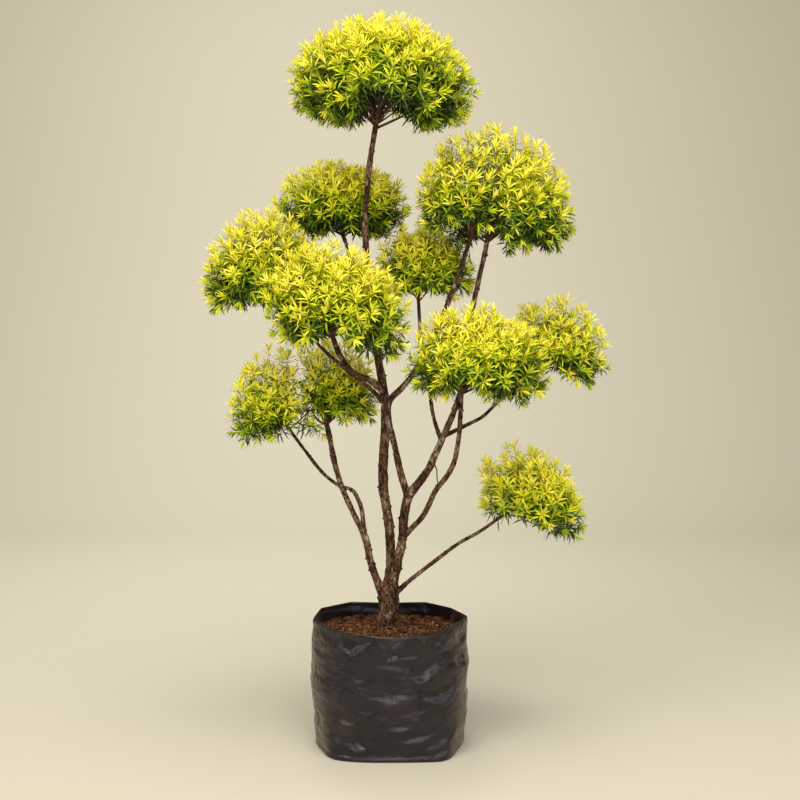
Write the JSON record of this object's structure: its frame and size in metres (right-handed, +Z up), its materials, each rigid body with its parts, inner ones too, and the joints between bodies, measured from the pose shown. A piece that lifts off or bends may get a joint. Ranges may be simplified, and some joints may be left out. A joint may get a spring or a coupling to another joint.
{
  "type": "cloud-pruned topiary in a grow bag",
  "caption": "Cloud-pruned golden topiary: a slim trunk and bare tapering boughs, each ending in a clipped dome of narrow leaves, planted in a soft black plastic grow bag.",
  "frame": {"origin": "middle of the bag's flat underside, on the surface that it stands on", "axes": "+Z up, +X along the bag's wide front towards the lowest side bough, -Y towards the front of the plant"},
  "size_m": [0.836, 0.5061, 1.4637],
  "materials": {
    "grow_bag_film": "black polythene film, crinkled, with a soft half gloss",
    "potting_soil": "crumbly red-brown potting mix, matt",
    "bark": "thin grey-brown bark, finely cracked, with small pruning knobs, matt",
    "golden_leaf": "narrow leaves, golden at the shoot tips and green inside, with a soft sheen"
  },
  "bodies": {
    "root": {"grow_bag": "grow_bag_film", "soil": "potting_soil", "trunk": "bark", "bough_left": "bark", "bough_left_outer": "bark", "bough_middle": "bark", "bough_crossing": "bark", "bough_centre_back": "bark", "bough_right_back": "bark", "bough_right_front": "bark", "bough_low_right": "bark", "bough_front_left": "bark", "bough_far_left": "bark", "bough_back_left": "bark", "foliage_top": "golden_leaf", "foliage_upper_right": "golden_leaf", "foliage_upper_front": "golden_leaf", "foliage_back_left": "golden_leaf", "foliage_far_left": "golden_leaf", "foliage_front_left": "golden_leaf", "foliage_centre_back": "golden_leaf", "foliage_right_front": "golden_leaf", "foliage_far_right": "golden_leaf", "foliage_lower_left_outer": "golden_leaf", "foliage_lower_left": "golden_leaf", "foliage_low_right": "golden_leaf"}
  },
  "joints": []
}
